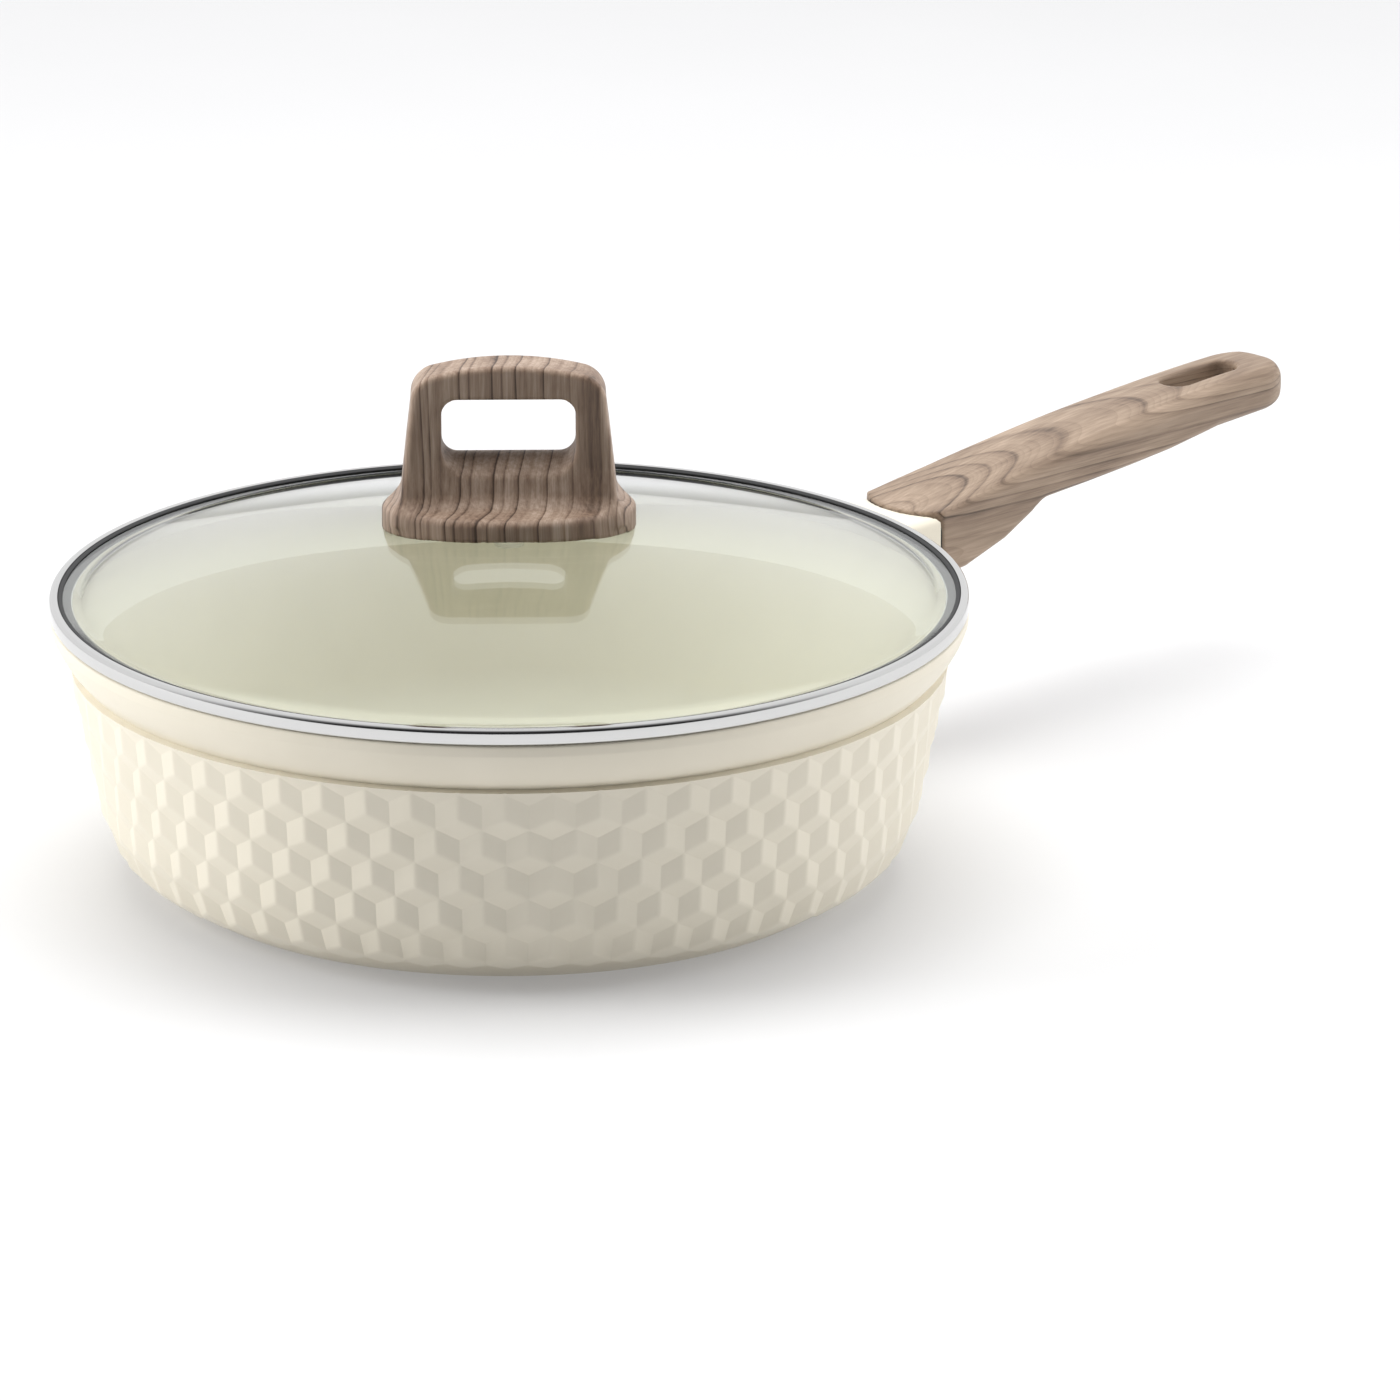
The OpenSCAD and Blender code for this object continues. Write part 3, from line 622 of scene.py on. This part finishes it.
def seal_outline():
    """Section of the seal that wraps the glass's edge, with a thin lip on top"""
    return ([(135.2, 85.55), (140.8, 85.55), (141.55, 86.4), (141.55, 88.3), (140.7, 89.5),
             (139.5, 89.58)]
            + arc((139.0, 89.5), 0.45, 30, 90, 3)
            + [(138.2, 89.68), (138.0, 89.55), (138.0, 89.3), (139.9, 89.3)]
            + arc((139.5, 87.55), 1.7, 80, -80, 8) + [(139.5, 85.8), (135.2, 85.8)])


finished(turned("lid_rim_seal_lip", seal_outline(), 256, 50), "lid", DARK_RUBBER, "dark_silicone",
         "lid_rim_seal")


# Heights of the lid handle are above the table
ARCH_FRONT = ([(34.6, 114), (33.6, 118.5), (32.8, 127), (31.4, 140), (30.2, 150)]
              + arc((20.9, 151.6), 9.2, 0, 70, 10)
              + bow((24.0, 160.25), (-24.0, 160.25), 97, 20)
              + arc((-20.9, 151.6), 9.2, 110, 180, 10)
              + [(-30.2, 150), (-31.4, 140), (-32.8, 127), (-33.6, 118.5), (-34.6, 114)])
ARCH_END = [(12.2, 114), (11.4, 119), (10.6, 124), (9.9, 128), (9.3, 132), (8.8, 142),
            (7.6, 163.6), (7.5, 170)]
ARCH_END = ARCH_END + [(-x, z) for x, z in ARCH_END[::-1]]


def lid_handle_depth(x, y, z):
    """The lid handle: an arch with a finger gap, filleted into an oval foot that fits the dome"""
    over = np.hypot(x, y)
    clear = (dome(over) + 0.05 - z) * 0.985
    arch = both(polygon(x, z, ARCH_FRONT), polygon(y, z, ARCH_END), 1.7)
    # The finger gap's floor falls away towards both faces
    fall = 0.776 * (np.hypot(np.minimum(np.abs(y), 12), 3) - 3) * np.clip((146 - z) / 6, 0, 1)
    gx, gz = np.abs(x) - GAP_X, np.abs(z - GAP_Z) - (GAP_RISE + fall)
    rim = 5.0 + 0.5 * fall
    gap = (np.hypot(np.maximum(gx + rim, 0), np.maximum(gz + rim, 0))
           + np.minimum(np.maximum(gx, gz), -rim))
    arch = both(arch, -gap, 0.9)
    k = np.hypot(x / FOOT_X, y / FOOT_Y)
    oval = k * (k - 1) / np.maximum(np.hypot(x / FOOT_X**2, y / FOOT_Y**2), 1e-4)
    top = z - (120.2 - 1.8 * np.clip(k, 0, 1.2)**2)
    foot = both(oval, top, 2.0)
    return both(either(foot, arch, 4.5), clear, 0.3)


knob = moulded("lid_handle_grained", lid_handle_depth, (-41, -27, 106), (41, 27, 166), 0.75)
turn = np.array([[cos(LID_TURN), sin(LID_TURN), 0], [-sin(LID_TURN), cos(LID_TURN), 0], [0, 0, 1]])
spots = np.empty(len(knob.data.vertices) * 3)
knob.data.vertices.foreach_get("co", spots)
knob.data.vertices.foreach_set("co", (spots.reshape(-1, 3) @ turn).ravel())
knob.data.update()
finished(knob, "lid", KNOB_WOOD, "wood_grain_bakelite", "lid_handle")


# ---------------------------------------------------------------- stage, light and camera

away = Vector((sin(VIEW_TURN), cos(VIEW_TURN), 0))
right = Vector((cos(VIEW_TURN), -sin(VIEW_TURN), 0))


def studio_floor():
    """A plain pale sheet of acrylic, lit faintly from below so that shadows stay light"""
    made, tree = material("pale_acrylic")
    place = add(tree, "ShaderNodeTexCoord", out=3)
    tooth = add(tree, "ShaderNodeTexNoise", {"Vector": place, "Scale": 8, "Detail": 2})
    colour = add(tree, "ShaderNodeMix", {0: tooth, 6: lin("#c4c4c4"), 7: lin("#c7c7c7")}, 2,
                 data_type="RGBA")
    sheet = add(tree, "ShaderNodeBsdfPrincipled", {
        "Base Color": colour, "Roughness": 0.9, "Emission Color": lin("#fcfcff"),
        "Emission Strength": 0.2})
    add(tree, "ShaderNodeOutputMaterial", {0: sheet}, None)
    ob = shell("floor", [(9000 * a, 9000 * b, -0.2) for a, b in ((-1, -1), (1, -1), (1, 1), (-1, 1))],
               [(0, 1, 2, 3)])
    ob.data.materials.append(made)


studio_floor()


def softbox(name, place, aim, size, watts):
    """A soft rectangular lamp that faces aim"""
    lamp = bpy.data.lights.new(name, "AREA")
    lamp.shape, lamp.size, lamp.size_y, lamp.energy = "RECTANGLE", *size, watts
    ob = bpy.data.objects.new(name, lamp)
    ob.location = place
    ob.rotation_mode = "QUATERNION"
    ob.rotation_quaternion = (Vector(aim) - Vector(place)).to_track_quat("-Z", "Y")
    ob.visible_glossy = ob.visible_transmission = False  # gloss mirrors the plain room instead
    bpy.context.scene.collection.objects.link(ob)


up = Vector((0, 0, 1))
mid = Vector((0.03, 0, 0.06))
softbox("left box", mid - right * 1.7 - away * 0.1 + up * 0.7, mid, (0.9, 1.4), 24)
softbox("right box", mid + right * 1.7 + away * 0.1 + up * 0.7, mid, (0.9, 1.4), 15)
softbox("top box", mid + away * 0.15 + up * 1.7, mid, (1.3, 1.2), 24)


def studio_sky():
    """An even white room that is darker on the camera's side"""
    world = bpy.data.worlds.new("studio")
    bpy.context.scene.world = world
    world.use_nodes = True
    tree = world.node_tree
    tree.nodes.clear()
    way = add(tree, "ShaderNodeTexCoord", out=0)
    front = add(tree, VMATH, {0: way, 1: tuple(-away)}, 1, operation="DOT_PRODUCT")
    level = add(tree, "ShaderNodeMapRange", {0: front, 1: -0.35, 2: 0.75, 3: 1.0, 4: 0.03},
                interpolation_type="SMOOTHSTEP")
    sky = add(tree, "ShaderNodeBackground", {0: lin("#fdfdfe"), 1: level})
    add(tree, "ShaderNodeOutputWorld", {0: sky}, None)


studio_sky()
bpy.context.scene.view_settings.view_transform = "Standard"

camera = bpy.data.objects.new("camera", bpy.data.cameras.new("camera"))
bpy.context.scene.collection.objects.link(camera)
far, height, climb = 3.101, 0.060, radians(17.72)       # metres from the pan, and how steeply above it
dip, swing = radians(17.831), radians(1.1423)           # where it looks: downwards and to the right
camera.location = -away * far * cos(climb) + up * (far * sin(climb) + height)
camera.rotation_mode = "QUATERNION"
camera.rotation_quaternion = (right * sin(swing) * cos(dip) + away * cos(swing) * cos(dip)
                              - up * sin(dip)).to_track_quat("-Z", "Y")
camera.data.lens, camera.data.sensor_width = 257.14, 36
camera.data.clip_end = 50
bpy.context.scene.camera = camera
